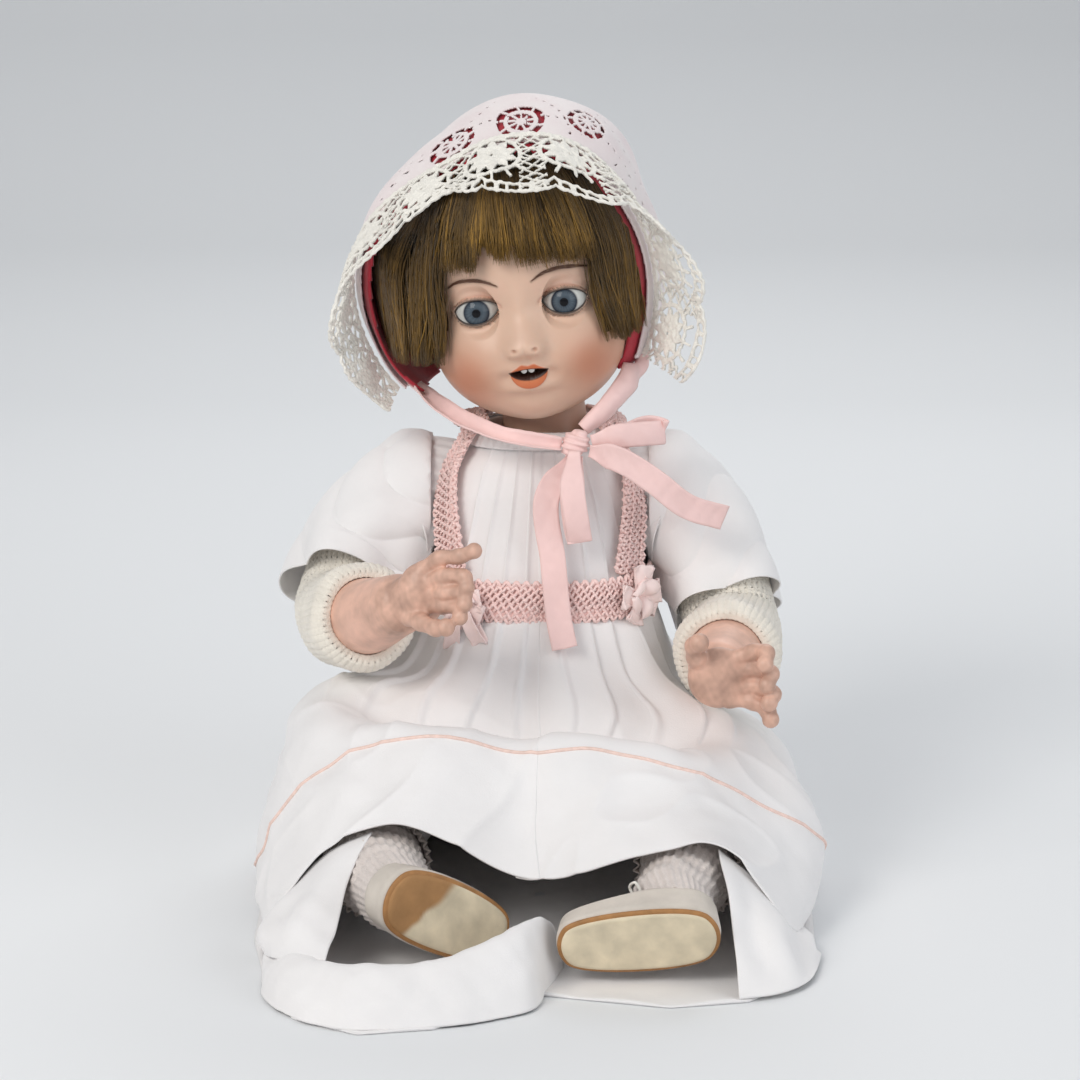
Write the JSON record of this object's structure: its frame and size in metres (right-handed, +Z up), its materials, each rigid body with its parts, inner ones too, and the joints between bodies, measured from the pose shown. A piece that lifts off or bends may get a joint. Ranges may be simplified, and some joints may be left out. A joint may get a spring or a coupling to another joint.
{
  "type": "sitting baby doll",
  "caption": "Antique-style sitting baby doll: bisque socket head with sleeping glass eyes, strung bent limbs, lace bonnet, white dress with pink trim.",
  "frame": {"origin": "on the ground under the middle of the seat", "axes": "+Z up, the doll faces -Y, its left hand is on +X"},
  "size_m": [0.2486, 0.3583, 0.3431],
  "materials": {
    "bisque": "satin, tinted",
    "eye_glass": "gloss",
    "enamel": "gloss",
    "felt": "matte",
    "card": "matte",
    "hair": "satin",
    "white_lace": "matte",
    "red_lining": "matte",
    "pink_ribbon": "satin",
    "pink_braid": "matte",
    "white_cotton": "matte",
    "cream_knit": "matte",
    "composition": "painted, satin",
    "shoe_leather": "matte",
    "sole_leather": "matte",
    "pearl": "gloss",
    "plug_wood": "bare",
    "steel_wire": "satin",
    "lead_weight": "matte",
    "elastic": "covered cord"
  },
  "bodies": {
    "torso": {"torso": "composition", "arm_cord": "elastic", "leg_cord": "elastic", "knit_vest": "cream_knit", "drawers_seat": "white_cotton", "dress_bodice": "white_cotton", "braid_waistband": "pink_braid", "braid_left_strap": "pink_braid", "braid_right_strap": "pink_braid", "rosette_left": "pink_ribbon", "rosette_right": "pink_ribbon", "back_button_low": "pearl", "back_button_middle": "pearl", "back_button_high": "pearl", "skirt_front": "white_cotton", "skirt_back": "white_cotton"},
    "neck": {"neck_plug": "plug_wood", "neck_hook": "steel_wire", "bow_knot": "pink_ribbon", "bow_loop_down": "pink_ribbon", "bow_loop_out": "pink_ribbon", "bow_tail_down": "pink_ribbon", "bow_tail_out": "pink_ribbon"},
    "head": {"bisque_head": "bisque", "crown_pate": "card", "upper_teeth": "enamel", "tongue": "felt", "wig": "hair", "bonnet_lining": "red_lining", "bonnet_cap": "white_lace", "bonnet_frill": "white_lace", "left_ribbon_tie": "pink_ribbon", "right_ribbon_tie": "pink_ribbon"},
    "eyes": {"left_glass_eye": "eye_glass", "right_glass_eye": "eye_glass", "eye_yoke": "steel_wire", "eye_weight": "lead_weight"},
    "left_arm_unit": {"left_arm": "composition", "left_arm_hook": "steel_wire", "left_knit_sleeve": "cream_knit", "left_sleeve": "white_cotton"},
    "left_leg_unit": {"left_leg": "composition", "left_leg_hook": "steel_wire", "left_sock": "white_lace", "left_shoe_upper": "shoe_leather", "left_shoe_sole": "sole_leather", "left_drawers_leg": "white_cotton"},
    "right_arm_unit": {"right_arm": "composition", "right_arm_hook": "steel_wire", "right_knit_sleeve": "cream_knit", "right_sleeve": "white_cotton"},
    "right_leg_unit": {"right_leg": "composition", "right_leg_hook": "steel_wire", "right_sock": "white_lace", "right_shoe_upper": "shoe_leather", "right_shoe_sole": "sole_leather", "right_drawers_leg": "white_cotton"}
  },
  "joints": [
    {"name": "neck_turn", "type": "hinge", "parent": "torso", "child": "neck", "pos_m": [0.0035, 0.003, 0.188], "axis": [0, 0, 1], "range_deg": [-25, 25], "deforming": ["bow_tail_down", "bow_tail_out", "leg_cord"]},
    {"name": "neck_tilt", "type": "hinge", "parent": "neck", "child": "head", "pos_m": [0.0035, 0.003, 0.188], "axis": [0, 1, 0], "range_deg": [-2, 14], "deforming": ["left_ribbon_tie", "right_ribbon_tie"]},
    {"name": "eyes_sleep", "type": "hinge", "parent": "head", "child": "eyes", "pos_m": [-0.00806, -0.03744, 0.25504], "axis": [0.9889, -0.0523, 0.139], "range_deg": [0, 50]},
    {"name": "left_shoulder", "type": "hinge", "parent": "torso", "child": "left_arm_unit", "pos_m": [0.05, 0.004, 0.162], "axis": [-1, 0, 0], "range_deg": [0, 40], "deforming": ["arm_cord", "bow_tail_out"]},
    {"name": "left_hip", "type": "hinge", "parent": "torso", "child": "left_leg_unit", "pos_m": [0.05, 0.002, 0.042], "axis": [-1, 0, 0], "range_deg": [0, 12], "deforming": ["skirt_front", "leg_cord"]},
    {"name": "right_shoulder", "type": "hinge", "parent": "torso", "child": "right_arm_unit", "pos_m": [-0.05, 0.004, 0.162], "axis": [-1, 0, 0], "range_deg": [0, 40], "deforming": ["arm_cord"]},
    {"name": "right_hip", "type": "hinge", "parent": "torso", "child": "right_leg_unit", "pos_m": [-0.05, 0.002, 0.042], "axis": [-1, 0, 0], "range_deg": [0, 12], "deforming": ["skirt_front", "leg_cord"]}
  ]
}
